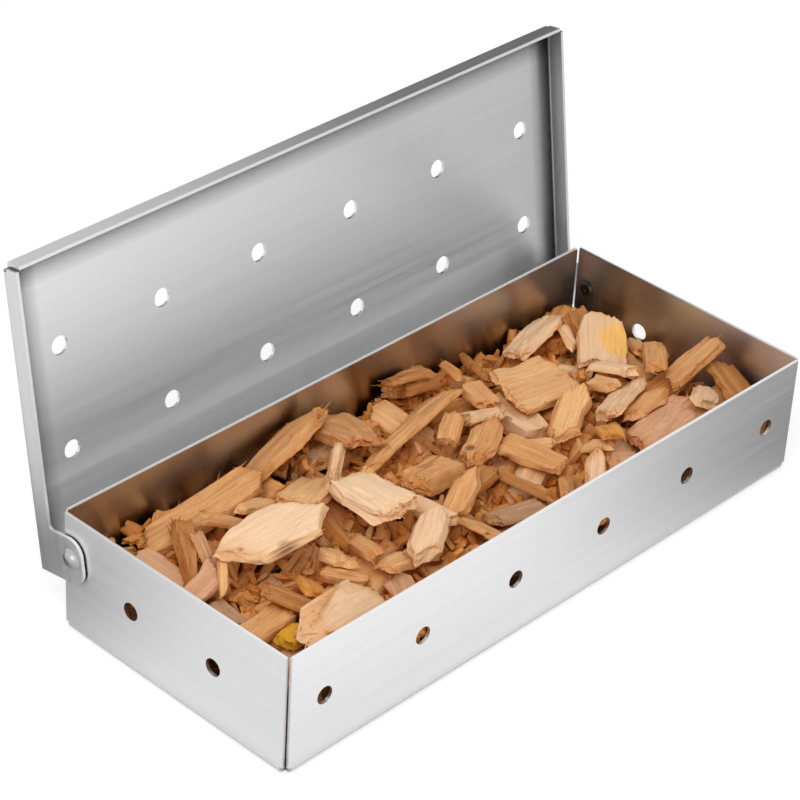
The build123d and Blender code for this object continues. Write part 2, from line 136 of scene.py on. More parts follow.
def brushed_steel(name, end_run, roughness, edge_axis, edge_level, painted_shade_span, own_painted_shade):
    """Brushed sheet: long walls are brushed along X, end walls along end_run, edges are bare.

    The cut edge lies past a level along an axis. The sheet's colour carries a painted shade from
    occlusion in its nooks: painted_shade_span gives the openness at which that shade is darkest
    and clear, and its darkest share; own_painted_shade leaves out the other pieces.
    """
    material, tree, metal = plain_material(
        name, Base_Color=(*steel_shade, 1), Metallic=steel_metallic, Anisotropic=0.9,
        Anisotropic_Rotation=0.25,
    )
    place = add_node(tree, "ShaderNodeTexCoord").outputs["Object"]
    normal = add_node(tree, "ShaderNodeNewGeometry").outputs["Normal"]
    facing = add_node(tree, "ShaderNodeSeparateXYZ", Vector=normal)
    tilt = reckon(tree, "ABSOLUTE", facing.outputs["X"])
    on_end = reckon(tree, "GREATER_THAN", tilt, end_wall_tilt)

    # Brushing direction in the sheet's own frame, then in the world's
    mixed = add_node(tree, "ShaderNodeMix", data_type="VECTOR")
    for number, value in ((0, on_end), (4, (1, 0, 0)), (5, end_run)):
        connect(tree, mixed.inputs[number], value)
    run = mixed.outputs[1]
    turned = add_node(
        tree, "ShaderNodeVectorTransform", convert_from="OBJECT", convert_to="WORLD", Vector=run
    )

    # Distances along and across the brushing
    across = add_node(
        tree, "ShaderNodeSeparateXYZ", Vector=reckon_vector(tree, "CROSS_PRODUCT", place, run)
    )
    streak = add_node(
        tree, "ShaderNodeCombineXYZ", X=reckon_vector(tree, "DOT_PRODUCT", place, run),
        Y=reckon(tree, "ADD", across.outputs["Y"], across.outputs["Z"]), Z=across.outputs["X"],
    )
    fine = stretched_noise(tree, streak.outputs[0], fine_lines, 2, 0.6)
    broad = stretched_noise(tree, streak.outputs[0], broad_lines, 3, 0.6)
    smoothest, roughest = roughness - roughness_spread, roughness + roughness_spread
    both = reckon(tree, "ADD", fine, broad)

    # Bare cut edges mirror less
    reach = reckon_vector(tree, "DOT_PRODUCT", place, edge_axis)
    past_level = reckon(tree, "GREATER_THAN", reach, edge_level)
    cut = reckon(tree, "MULTIPLY", past_level, reckon(tree, "SUBTRACT", 1, on_end))

    # Painted shade: inside the bends, beside the hinge ears and near other pieces, occlusion darkens
    # the sheet's colour
    painted_shade = add_node(
        tree, "ShaderNodeAmbientOcclusion", samples=6, only_local=own_painted_shade, Distance=painted_shade_reach
    )
    openness = remap(tree, painted_shade.outputs["AO"], *painted_shade_span, 1)
    if own_painted_shade:
        openness = reckon(tree, "MAXIMUM", openness, on_end)
    # The painted shade, times a slight tone from the brushing's broad streaks, scales the steel's
    # colour
    shade = reckon(tree, "MULTIPLY", openness, remap(tree, broad, 0.3, 0.7, 0.975, 1.025))
    bump = add_node(tree, "ShaderNodeBump", Strength=0.25, Distance=0.00003, Height=fine)
    adjust(
        tree, metal, Base_Color=reckon_vector(tree, "SCALE", steel_shade, shade),
        Metallic=remap(tree, cut, 0, 1, steel_metallic, cut_edge_metallic),
        Roughness=remap(tree, both, 0.6, 1.4, smoothest, roughest),
        Tangent=turned.outputs[0], Normal=bump.outputs[0],
    )
    return material


def dress(node_name, material):
    """Gives a CAD node its material through its object's own slots."""
    node = frame["nodes"][node_name]
    for slot in node.material_slots:
        slot.link = "OBJECT"
        slot.material = material


dress("tray", brushed_steel(
    "brushed tray steel", end_run=(0, 1, 0), roughness=0.36, edge_axis=(0, 0, 1),
    edge_level=tray_rim_level, painted_shade_span=(0.25, 0.65, 0.3), own_painted_shade=False,
))

# Lid: a second folded sheet with flanges on three sides, two rows of vents and a hinge ear at
# each end. It is brushed along its length, and its end flanges along their own length.
lid_lean = math.radians(8.35)
lid_rise = (0, math.sin(lid_lean), math.cos(lid_lean))
lid_front = Vector((0, -math.cos(lid_lean), math.sin(lid_lean)))
lid_rear_edge = Vector((0, 0.054315, 0.016624))
lid_rim_depth = 0.00645
dress("lid", brushed_steel(
    "brushed lid steel", end_run=lid_rise, roughness=0.34, edge_axis=tuple(lid_front),
    edge_level=lid_front.dot(lid_rear_edge) + lid_rim_depth, painted_shade_span=(0.72, 0.95, 0.06),
    own_painted_shade=True,
))

# Hinge rivets: turned steel, smooth and domed outside, with a hollow tail rolled over inside.
# Each holds an ear of the lid to an end wall of the tray, and the lid turns on the two.
rivet_steel, _, _ = plain_material(
    "rivet steel", Base_Color=(0.48, 0.48, 0.485, 1), Metallic=1, Roughness=0.24
)
dress("rivet_left", rivet_steel)
dress("rivet_right", rivet_steel)

# Wood chips: split hardwood, with a smooth or ledged face along the grain and torn ends. Each
# chip is built as a bundle of fibres inside its CAD solid: every fibre runs along the grain
# and breaks off at its own length.
tones = {
    "pink": (0.72, 0.40, 0.23),
    "tan": (0.70, 0.36, 0.15),
    "honey": (0.84, 0.48, 0.22),
    "cream": (0.89, 0.61, 0.38),
    "pale": (0.84, 0.55, 0.33),
    "yellow": (0.72, 0.36, 0.02),
    "orange": (0.72, 0.33, 0.085),
    "brown": (0.52, 0.23, 0.075),
    "grey": (0.50, 0.29, 0.16),
    "shade": (0.80, 0.38, 0.13),
}
chip_tones = {
    "wood_chip_01": "grey", "wood_chip_02": "tan", "wood_chip_03": "pink", "wood_chip_05": "grey",
    "wood_chip_06": "tan", "wood_chip_07": "pink", "wood_chip_09": "brown", "wood_chip_12": "pink",
    "wood_chip_15": "pink", "wood_chip_16": "pale", "wood_chip_17": "brown", "wood_chip_18": "tan",
    "wood_chip_19": "tan", "wood_chip_20": "pale", "wood_chip_21": "honey", "wood_chip_22": "tan",
    "wood_chip_23": "honey", "wood_chip_24": "brown", "wood_chip_25": "tan", "wood_chip_27": "tan",
    "wood_chip_28": "tan", "wood_chip_30": "pale", "wood_chip_33": "pale", "wood_chip_34": "tan",
    "wood_chip_35": "brown", "wood_chip_36": "brown", "wood_chip_37": "tan", "wood_chip_38": "brown",
    "wood_chip_40": "tan", "wood_chip_41": "tan", "wood_chip_42": "tan", "wood_chip_43": "tan",
    "wood_chip_44": "pink", "wood_chip_45": "brown", "wood_chip_49": "honey", "wood_chip_50": "honey",
    "wood_chip_52": "pink", "wood_chip_54": "brown", "wood_chip_59": "pale", "wood_chip_60": "pale",
    "wood_chip_61": "cream", "wood_chip_62": "cream", "wood_chip_63": "honey", "wood_chip_64": "pale",
    "wood_chip_65": "brown", "wood_chip_66": "pale",
}

# Tones of the smaller chips, which share nodes, by the places of their middles
small_chip_tones = (
    ((-0.0942, -0.0312, 0.0311), "yellow"), ((-0.0460, -0.0236, 0.0283), "honey"),
    ((0.0197, -0.0317, 0.0249), "tan"), ((0.0307, -0.0325, 0.0271), "pale"),
    ((0.0394, -0.0248, 0.0295), "honey"), ((0.0457, -0.0228, 0.0319), "orange"),
    ((-0.0216, -0.0148, 0.0294), "pale"), ((-0.0265, 0.0097, 0.0255), "honey"),
    ((0.0088, 0.0079, 0.0335), "tan"), ((0.0677, -0.0023, 0.0285), "honey"),
    ((-0.0858, 0.0136, 0.0314), "pink"), ((-0.0748, 0.0202, 0.0332), "tan"),
    ((-0.0306, 0.0172, 0.0337), "pale"), ((-0.0923, -0.0007, 0.0326), "honey"),
    ((-0.0729, -0.0155, 0.0287), "orange"), ((-0.0616, -0.0185, 0.0276), "tan"),
    ((-0.0599, -0.0121, 0.0303), "honey"), ((-0.0501, -0.0151, 0.0309), "tan"),
)

# Tones that the chips underneath draw from, how much some chips bristle at their ends, and how
# much of the streaks shows on smooth wood, where it isn't 1
bed_tones = ["shade", "shade", "honey", "pale", "tan"]
fluffy_chips = {"wood_chip_30": 3, "wood_chip_28": 2, "wood_chip_62": 0.2, "wood_chip_61": 0.4}
smooth_tones = {"cream": 0.35, "pale": 0.55, "honey": 0.8, "pink": 0.75}

# Knots and stains in some chips: middle, radius and the shares of red, green and blue left
dark_knot = (0.36, 0.26, 0.26)
brown_knot = (0.62, 0.45, 0.35)
yellow_stain = (1.10, 0.98, 0.50)
knots = {
    "wood_chip_62": (
        ((-0.0735, -0.0066, 0.0350), 0.0036, dark_knot),
        ((-0.0836, 0.0015, 0.0365), 0.0013, brown_knot),
    ),
    "wood_chip_28": (((0.0061, -0.0031, 0.0350), 0.0022, dark_knot),),
    "wood_chip_24": (((-0.0039, -0.0125, 0.0325), 0.0011, dark_knot),),
    "wood_chip_66": (((0.0895, 0.0095, 0.0305), 0.0060, yellow_stain),),
}

# Distances that count as none, in a mesh and in an outline
same_point = 1e-6
same_place = 1e-5

# Large primes that scramble the numbers of the noise's cells, and the bits that are kept
cell_primes = np.array([73856093, 19349663, 83492791])
seed_prime, mixing_prime = 2654435761, 1274126177
kept_bits = 0xFFFFFF


def value_noise(points, seed):
    """Smooth noise from -1 to 1 at points whose unit is one cell."""
    cell = np.floor(points).astype(np.int64)
    part = points - cell
    part = part * part * (3 - 2 * part)
    total = np.zeros(len(points))
    for corner in range(8):
        step = np.array([corner & 1, corner >> 1 & 1, corner >> 2 & 1])
        key = (cell + step) @ cell_primes + seed * seed_prime
        key = (key ^ (key >> 13)) * mixing_prime
        key = (key ^ (key >> 16)) & kept_bits
        weight = np.prod(np.where(step, part, 1 - part), axis=1)
        total += weight * (key / (kept_bits // 2) - 1)
    return total


def chip_solids(node):
    """Corners and flat sides of each separate convex chip in a CAD node, all in order of place."""
    def place_of(vert):
        return tuple(np.round(vert.co, 5))

    copy = bmesh.new()
    copy.from_mesh(node.data)
    bmesh.ops.remove_doubles(copy, verts=copy.verts, dist=same_point)
    left = sorted(copy.verts, key=place_of)
    while left:
        queue = [left.pop(0)]
        members = list(queue)
        while queue:
            for edge in queue.pop().link_edges:
                for vert in edge.verts:
                    if vert in left:
                        left.remove(vert)
                        members.append(vert)
                        queue.append(vert)
        members.sort(key=place_of)
        corners = np.array([vert.co for vert in members])
        sides = {}
        for vert in members:
            for face in vert.link_faces:
                normal = np.array(face.normal)
                key = tuple(np.round(normal, 3) + 0.0)
                if key not in sides:
                    sides[key] = [normal, normal @ np.array(vert.co), []]
                if face not in sides[key][2]:
                    sides[key][2].append(face)
        ordered = [sides[key] for key in sorted(sides)]
        normals = np.array([side[0] for side in ordered])
        reaches = np.array([side[1] for side in ordered])
        areas = np.array([round(sum(face.calc_area() for face in side[2]), 9) for side in ordered])
        yield corners, normals, reaches, areas
    copy.free()


def grain_frame(corners, normals, reaches, areas):
    """Axes of a chip along its grain, across it and through its thickness, and its middle."""
    largest = np.argmax(areas)
    through = -normals[largest]
    base = corners[np.abs(corners @ normals[largest] - reaches[largest]) < same_place]
    spread = base - base.mean(axis=0)
    best = None
    for first in spread:
        for second in spread:
            run = second - first
            length = np.linalg.norm(run)
            if length > same_place:
                run = run / length
                side = np.cross(through, run)
                size = np.ptp(spread @ run) * np.ptp(spread @ side)
                if best is None or size < best[0]:
                    best = (size, run, side)
    _, run, side = best
    if np.ptp(spread @ run) < np.ptp(spread @ side):
        run, side = side, -run
    if run[0] < 0:
        run, side = -run, -side
    return np.array([run, side, through]), corners.mean(axis=0)


def span_at(values, others, wanted):
    """Lowest and highest of one coordinate of a flat convex outline where the other is given."""
    low, high = np.full(len(wanted), np.inf), np.full(len(wanted), -np.inf)
    for first in range(len(values)):
        for second in range(len(values)):
            if others[first] < others[second]:
                share = (wanted - others[first]) / (others[second] - others[first])
                inside = (share >= 0) & (share <= 1)
                value = values[first] + share * (values[second] - values[first])
                low = np.where(inside, np.minimum(low, value), low)
                high = np.where(inside, np.maximum(high, value), high)
    return low, high


def step_up(values, start, width):
    """Rises smoothly from 0 to 1 over a width."""
    share = np.clip((values - start) / width, 0, 1)
    return share * share * (3 - 2 * share)


# How the fibres' ends break, in broad tears, clumps and single strands: the breadth and the
# thickness of each, how far it reaches, and its own step in the seeds
end_breaks = (
    (0.0075, 0.0060, 0.0026, 0), (0.0026, 0.0012, 0.0010, 3), (0.0008, 0.0006, 0.0006, 7),
)
end_setback = 0.0004
longest_strand = 0.0014
deepest_break_share = 0.35
end_crowding = 0.06

# Length and breadth of the strands, ridges, layers and cracks along the grain
strand_cells, ridge_cells = (0.0045, 0.0006), (0.015, 0.0012)
layer_cells, crack_cells = (0.013, 0.0038), (0.020, 0.0021)
layer_thickness = 0.003

# Depths of the ledges, ridges, strands and cracks on a face, and of its rounded sides and ends
ledge_depth, ridge_depth, strand_depth, crack_depth = 0.00045, 0.00012, 0.00007, 0.00030
side_round, end_round = 0.0005, 0.0004
face_swell = 0.00015
usual_thickness = 0.003

# Waves of a chip's sides: length, thickness, shift at each side, depth and step in the seeds
side_waves = ((0.009, 0.005, 3.3, 0.0016, 6), (0.0026, 0.0013, 5.1, 0.00045, 9))
usual_half_width = 0.005
usual_half_length = 0.017
usual_bow, most_bow = 0.0009, 0.0012
usual_twist, most_twist = 0.0005, 0.0009


def fibre_mesh(solid, seed, pitch, dice, torn):
    """Surface of a chip as a bundle of fibres: its points, its quads and what is where on it."""
    axes, middle = grain_frame(*solid)
    corners, normals, reaches, _ = solid
    local = (corners - middle) @ axes.T
    normals_in = normals @ axes.T
    room_in = reaches - normals @ middle
    low, high = local.min(axis=0), local.max(axis=0)
    along, across, deep = [max(int(math.ceil(size / step)), 3) for size, step in zip(high - low, pitch)]
    v_line = np.linspace(low[1] + same_place, high[1] - same_place, across + 1)
    w_low, w_high = span_at(local[:, 2], local[:, 1], v_line)
    depth = np.linspace(0, 1, deep + 1)
    v = np.repeat(v_line, deep + 1)
    w = (w_low[:, None] + (w_high - w_low)[:, None] * depth).ravel()
    u_low, u_high = np.full(len(v), -np.inf), np.full(len(v), np.inf)
    for (n_u, n_v, n_w), room in zip(normals_in, room_in):
        left = room - n_v * v - n_w * w
        if n_u > same_point:
            u_high = np.minimum(u_high, left / n_u)
        elif n_u < -same_point:
            u_low = np.maximum(u_low, left / n_u)
    u_middle = (u_low + u_high) / 2
    u_low, u_high = np.minimum(u_low, u_middle), np.maximum(u_high, u_middle)

    # Every fibre breaks off at its own length
    def break_off(number):
        reach = 0
        for breadth, thickness, farthest, step in end_breaks:
            cells = np.stack([v / breadth, w / thickness, v * 0], 1)
            reach = reach + farthest * value_noise(cells, seed + number + step)
        return torn * reach - end_setback

    grow_low, grow_high = break_off(1), break_off(2)
    length = np.maximum(u_high - u_low, same_point)
    limit = length * deepest_break_share
    u_low = u_low - np.clip(grow_low, -limit, longest_strand)
    u_high = u_high + np.clip(grow_high, -limit, longest_strand)
    share = np.linspace(0, 1, along + 1)
    share = share - end_crowding * np.sin(2 * np.pi * share)

    # The lattice's skin: index (along, across, deep), with quads on its six sides
    index = -np.ones((along + 1, across + 1, deep + 1), int)
    skin = np.ones_like(index, bool)
    skin[1:-1, 1:-1, 1:-1] = False
    index[skin] = np.arange(skin.sum())
    i, j, k = np.nonzero(skin)
    fibre = j * (deep + 1) + k
    u = u_low[fibre] + (u_high - u_low)[fibre] * share[i]
    flat = np.stack([u, v[fibre], w[fibre]], 1)
    quads = []
    for axis in range(3):
        for end in (0, -1):
            face = np.take(index, end, axis=axis)
            a, b, c, d = face[:-1, :-1], face[1:, :-1], face[1:, 1:], face[:-1, 1:]
            ring = (a, b, c, d) if (end == -1) != (axis == 1) else (a, d, c, b)
            quads.append(np.stack([corner.ravel() for corner in ring], 1))
    quads = np.concatenate(quads)
    half, centre = (high - low) / 2, (high + low) / 2
    rel = (flat - centre) / half
    facing, edge = np.sign(rel[:, 2]), np.sign(rel[:, 1])

    # Ledges where a layer split away, shallow ridges between the fibres, and wavy sides
    def along_grain(cell, number, layer=0.0):
        length_cells, breadth_cells = flat[:, 0] / cell[0], flat[:, 1] / cell[1]
        cells = [length_cells, breadth_cells, flat[:, 2] / layer_thickness + layer]
        return value_noise(np.stack(cells, 1), seed + number)

    strands = along_grain(strand_cells, 5)
    ridge = along_grain(ridge_cells, 3)
    layers = along_grain(layer_cells, 4, 3.7) + 0.12 * strands
    ledge = step_up(layers, dice.uniform(0.0, 0.35), 0.10)
    ledge = ledge + step_up(-layers, dice.uniform(0.25, 0.6), 0.10)
    crack = step_up(np.abs(along_grain(crack_cells, 8)), 0.70, 0.2)
    thick = np.clip(half[2] * 2 / usual_thickness, 0.4, 1.3)
    rounded = side_round * step_up(np.abs(rel[:, 1]), 0.72, 0.28)
    rounded = rounded + end_round * step_up(np.abs(rel[:, 0]), 0.85, 0.15)
    relief = ledge_depth * ledge + ridge_depth * ridge + strand_depth * strands + crack_depth * crack
    relief = relief + rounded
    points = flat.copy()
    points[:, 2] += facing * (face_swell - relief * thick) * np.minimum(np.abs(rel[:, 2]) * 1.5, 1)
    wave = 0
    for run_size, thickness, shift, farthest, step in side_waves:
        cells = np.stack([flat[:, 0] / run_size, edge * shift, flat[:, 2] / thickness], 1)
        wave = wave + farthest * value_noise(cells, seed + step)
    points[:, 1] += edge * np.abs(rel[:, 1]) ** 3 * wave * min(half[1] / usual_half_width, 1)

    # A slight bow along the grain and a twist, as split wood dries
    bow = dice.normal() * usual_bow * min(half[0] / usual_half_length, 1) ** 2
    twist = dice.normal() * usual_twist
    points[:, 2] += np.clip(bow, -most_bow, most_bow) * (rel[:, 0] ** 2 - 0.33)
    points[:, 2] += np.clip(twist, -most_twist, most_twist) * rel[:, 0] * rel[:, 1]
    end_share = np.clip((np.abs(u - u_middle[fibre]) / (length[fibre] / 2) - 0.8) / 0.2, 0, 1)
    # Where the face is hollow, in cracks, ledges and dips between ridges, which the wood material
    # darkens as painted shade
    hollow = np.clip(crack + 0.35 * ledge + np.clip(-ridge - 0.35, 0, 1), 0, 1)
    on_side = step_up(np.abs(rel[:, 1]), 0.93, 0.06)
    run = np.sign(rel[:, 0])[:, None] * axes[0]
    return points @ axes + middle, quads, flat, end_share, hollow, on_side, run


# The room inside the tray, which the chips, their splinters and the crumbs keep within
room_inside = np.array([-0.1098, -0.0448, 0.0011]), np.array([0.1098, 0.0448, 0.0405])
sharp_bend = math.radians(55)

# Spreads of the tears and tones, sizes of the warm patches, and the shares of colour lost on the darker
# end grain and, as painted shade, on the chips' sides
torn_spread = (0.6, 1.3)
tone_spread = (0.94, 1.06)
patch_sizes = np.array([0.014, 0.005, 0.004])
patch_share = 0.4
end_grain_and_painted_side_shade = np.array([0.10, 0.22, 0.38])
same_middle = 0.001


def add_layer(mesh, name, kind, values):
    """Stores a value for each point of a mesh."""
    field = {"FLOAT_VECTOR": "vector", "FLOAT_COLOR": "color", "FLOAT": "value"}[kind]
    mesh.attributes.new(name, kind, "POINT").data.foreach_set(field, values.ravel())


def chip_piece(piece_name, solids, pitch, seed, limits=room_inside):
    """One mesh for several chips, each a solid with its own name, tone and grain."""
    layers = {
        "grain": ("FLOAT_VECTOR", []), "hollow": ("FLOAT", []), "contrast": ("FLOAT", []),
        "run": ("FLOAT_VECTOR", []), "bristle": ("FLOAT", []), "tone": ("FLOAT_COLOR", []),
    }
    all_points, all_quads = [], []
    offset = 0
    for number, (chip_name, solid) in enumerate(solids):
        key = seed + 97 * number + sum(map(ord, chip_name)) * 13
        dice = np.random.default_rng(key)
        torn = dice.uniform(*torn_spread)
        world, quads, flat, end_share, hollow, on_side, run = fibre_mesh(solid, key, pitch, dice, torn)
        world = np.clip(world, *limits)
        name = chip_tones.get(chip_name) or dice.choice(bed_tones)
        if chip_name.startswith("chip_bed"):
            for place, small_tone in small_chip_tones:
                if np.linalg.norm(solid[0].mean(axis=0) - place) < same_middle:
                    name = small_tone
        tone = np.array(tones[name]) * dice.uniform(*tone_spread)
        patch = value_noise(flat / patch_sizes, key + 11)
        warm = np.clip(patch * 1.3 - 0.3, 0, 0.7)[:, None]
        colour = tone * (1 - patch_share * warm) + patch_share * warm * np.array(tones["orange"])
        # The end grain is darker wood, and the chips' sides get a painted shade
        deep = np.maximum(on_side, 0.8 * end_share)[:, None]
        colour = colour * (1 - deep * end_grain_and_painted_side_shade)
        for place, radius, left in knots.get(chip_name, ()):
            near = 1 - step_up(np.linalg.norm(world - place, axis=1), radius * 0.8, radius * 0.5)
            colour = colour * (1 - near[:, None] * (1 - np.array(left)))
        all_points.append(world)
        all_quads.append(quads + offset)
        offset += len(world)
        for layer_name, values in (
            ("grain", flat + dice.uniform(0, 1, 3)),
            ("hollow", hollow),
            ("contrast", np.full(len(hollow), smooth_tones.get(name, 1))),
            ("run", run),
            ("bristle", step_up(end_share, 0.6, 0.4) * fluffy_chips.get(chip_name, 1)),
            ("tone", np.concatenate([np.clip(colour, 0, 1), np.ones((len(colour), 1))], 1)),
        ):
            layers[layer_name][1].append(values)
    mesh = bpy.data.meshes.new(piece_name)
    mesh.from_pydata(np.concatenate(all_points).tolist(), [], np.concatenate(all_quads).tolist())
    for layer_name, (kind, values) in layers.items():
        add_layer(mesh, layer_name, kind, np.concatenate(values))
    mesh.shade_smooth()
    mesh.set_sharp_from_angle(angle=sharp_bend)
    mesh.update()
    piece = bpy.data.objects.new(piece_name, mesh)
    bpy.context.scene.collection.objects.link(piece)
    return piece


# Fibres, pores, broad streaks and cracks: waves to the metre, detail, roughness and wander of
# each, then the span of its noise and the shares of light that are left there
wood_figures = (
    ((90, 1700, 1700), 3, 0.6, 0.3, (0.3, 0.7, 0.78, 1.10)),
    ((500, 2400, 2400), 1, 0.5, 0.0, (0.26, 0.34, 0.72, 1.0)),
    ((40, 380, 380), 2, 0.5, 0.6, (0.3, 0.7, 0.90, 1.08)),
    ((55, 900, 900), 1, 0.5, 0.4, (0.22, 0.33, 0.74, 1.0)),
)
streak_loss = (0.75, 1.12, 1.4)
# Shares of red, green and blue that the painted shade between the chips takes away, and its reach
painted_shade_loss = (0.22, 0.50, 0.90)
chip_painted_shade_reach = 0.008


def split_wood(name):
    """Raw split wood: fine fibres along the grain, darker hollows and end grain, warm streaks."""
    material, tree, wood = plain_material(name, Roughness=0.82, Specular_IOR_Level=0.2)
    grain, tone, hollow, contrast = [
        add_node(tree, "ShaderNodeAttribute", attribute_name=layer_name)
        for layer_name in ("grain", "tone", "hollow", "contrast")
    ]

    # Each figure leaves a share of the wood's colour, and the hollows a share for their painted shade
    light, noises = 1, []
    for scale, detail, roughness, wander, span in wood_figures:
        noise = stretched_noise(tree, grain.outputs["Vector"], scale, detail, roughness, wander)
        light = reckon(tree, "MULTIPLY", light, remap(tree, noise, *span))
        noises.append(noise)
    fibres = noises[0]
    # Painted shade in the cracks, ledges and dips
    light = reckon(tree, "MULTIPLY", light, remap(tree, hollow.outputs["Fac"], 0.25, 1, 1, 0.66))

    def darkened(colour, amount, share_lost):
        kept = reckon_vector(
            tree, "SUBTRACT", (1, 1, 1), reckon_vector(tree, "SCALE", share_lost, amount)
        )
        return reckon_vector(tree, "MULTIPLY", colour, kept)

    # The darker a streak or a hollow's painted shade, the redder it is, and pale smooth chips show less
    # of it
    shown = reckon(tree, "MULTIPLY", reckon(tree, "SUBTRACT", 1, light), contrast.outputs["Fac"])
    streaked = darkened(tone.outputs["Color"], shown, streak_loss)

    # Painted shade: deep between the chips, where occlusion finds other wood near, the colour is made
    # browner
    openness = add_node(tree, "ShaderNodeAmbientOcclusion", samples=4, Distance=chip_painted_shade_reach)
    painted_shade = remap(tree, openness.outputs["AO"], 0.05, 0.6, 1, 0)
    bump = add_node(tree, "ShaderNodeBump", Strength=0.6, Distance=0.00012, Height=fibres)
    adjust(tree, wood, Base_Color=darkened(streaked, painted_shade, painted_shade_loss), Normal=bump.outputs[0])
    return material


def scatter_group():
    """Points on a mesh, denser where it bristles, each with a turned and scaled small form."""
    tree = bpy.data.node_groups.new("scattered bits", "GeometryNodeTree")
    for name, kind in (
        ("Geometry", "Geometry"), ("Forms", "Collection"), ("Density", "Float"),
        ("Smallest", "Float"), ("Largest", "Float"), ("Lean", "Float"),
        ("Keep Mesh", "Bool"), ("Material", "Material"), ("Seed", "Int"),
    ):
        tree.interface.new_socket(name, in_out="INPUT", socket_type=f"NodeSocket{kind}")
    tree.interface.new_socket("Geometry", in_out="OUTPUT", socket_type="NodeSocketGeometry")
    link = tree.links.new
    given = tree.nodes.new("NodeGroupInput").outputs

    def random_value(kind, first, lowest, highest):
        """A random value for each point; the span is on the two sockets from the first on."""
        node = add_node(tree, "FunctionNodeRandomValue", data_type=kind, Seed=given["Seed"])
        connect(tree, node.inputs[first], lowest)
        connect(tree, node.inputs[first + 1], highest)
        return node.outputs[first // 2]

    bristle, run = [
        add_node(tree, "GeometryNodeInputNamedAttribute", data_type=kind, Name=name).outputs[0]
        for kind, name in (("FLOAT", "bristle"), ("FLOAT_VECTOR", "run"))
    ]
    points = add_node(
        tree, "GeometryNodeDistributePointsOnFaces", Mesh=given["Geometry"], Seed=given["Seed"],
        Density=reckon(tree, "MULTIPLY", bristle, given["Density"]),
    )
    forms = add_node(
        tree, "GeometryNodeCollectionInfo", Collection=given["Forms"], Separate_Children=True,
        Reset_Children=True,
    )
    backwards = reckon(tree, "MULTIPLY", given["Lean"], -1)
    lean = random_value("FLOAT_VECTOR", 0, backwards, given["Lean"])
    turn = add_node(
        tree, "FunctionNodeRotateRotation", rotation_space="LOCAL",
        Rotation=add_node(tree, "FunctionNodeAlignRotationToVector", axis="Z", Vector=run).outputs[0],
        Rotate_By=add_node(tree, "FunctionNodeEulerToRotation", Euler=lean).outputs[0],
    )
    placed = add_node(
        tree, "GeometryNodeInstanceOnPoints", Points=points.outputs["Points"],
        Instance=forms.outputs[0], Pick_Instance=True,
        Instance_Index=random_value("INT", 4, 0, 99), Rotation=turn.outputs[0],
        Scale=random_value("FLOAT", 2, given["Smallest"], given["Largest"]),
    )
    kept = add_node(tree, "GeometryNodeSwitch", input_type="GEOMETRY")
    link(given["Keep Mesh"], kept.inputs[0])
    link(given["Geometry"], kept.inputs[2])
    both = add_node(tree, "GeometryNodeJoinGeometry")
    link(kept.outputs[0], both.inputs[0])
    link(placed.outputs[0], both.inputs[0])
    real = add_node(tree, "GeometryNodeRealizeInstances", Geometry=both.outputs[0])
    dressed = add_node(
        tree, "GeometryNodeSetMaterial", Geometry=real.outputs[0], Material=given["Material"]
    )
    link(dressed.outputs[0], tree.nodes.new("NodeGroupOutput").inputs[0])
    return tree


def scatter(piece, **values):
    """Scatters small forms over a piece, kept inside the tray, and leaves a plain mesh."""
    modifier = piece.modifiers.new("scattered bits", "NODES")
    modifier.node_group = scattered_bits
    for item in scattered_bits.interface.items_tree:
        name = item.name.lower().replace(" ", "_")
        if item.in_out == "INPUT" and name in values:
            modifier[item.identifier] = values[name]
    seen = bpy.context.evaluated_depsgraph_get()
    mesh = bpy.data.meshes.new_from_object(piece.evaluated_get(seen))
    piece.modifiers.clear()
    places = np.empty(len(mesh.vertices) * 3)
    mesh.vertices.foreach_get("co", places)
    mesh.vertices.foreach_set("co", np.clip(places.reshape(-1, 3), *room_inside).ravel())
    piece.data = mesh
    mesh.name = piece.name


chip_wood = split_wood("split wood")
scattered_bits = scatter_group()

# Splinters: thin curved strands that stand out of the torn ends, one unit of length each
splinter_count = 4
splinter_stations = np.linspace(0, 1, 5)
splinter_widths = 0.075 * (1 - 0.75 * splinter_stations)
splinter_bend, splinter_root = 0.16, 0.15
splinter_section = np.array([1.5, 0.6, 1])
splinter_ring = np.array([[math.cos(angle), math.sin(angle), 0] for angle in (0, 2.1, 4.2)])

# Quads between the five rings of three points, and a closed face at each end
splinter_faces = []
for start in (0, 3, 6, 9):
    for corner in range(3):
        here, beside = start + corner, start + (corner + 1) % 3
        splinter_faces.append((here, beside, beside + 3, here + 3))
splinter_faces += [(2, 1, 0), (12, 13, 14)]
splinters = bpy.data.collections.new("splinters")
for number in range(splinter_count):
    dice = np.random.default_rng(40 + number)
    bends = [splinter_bend * dice.normal() * splinter_stations ** 2 for axis in range(2)]
    curve = np.stack([*bends, splinter_stations - splinter_root], 1)
    rings = splinter_widths[:, None, None] * splinter_ring * splinter_section
    points = (curve[:, None] + rings).reshape(-1, 3)
    mesh = bpy.data.meshes.new(f"splinter {number}")
    mesh.from_pydata(points.tolist(), [], splinter_faces)
    mesh.shade_smooth()
    splinters.objects.link(bpy.data.objects.new(f"splinter {number}", mesh))

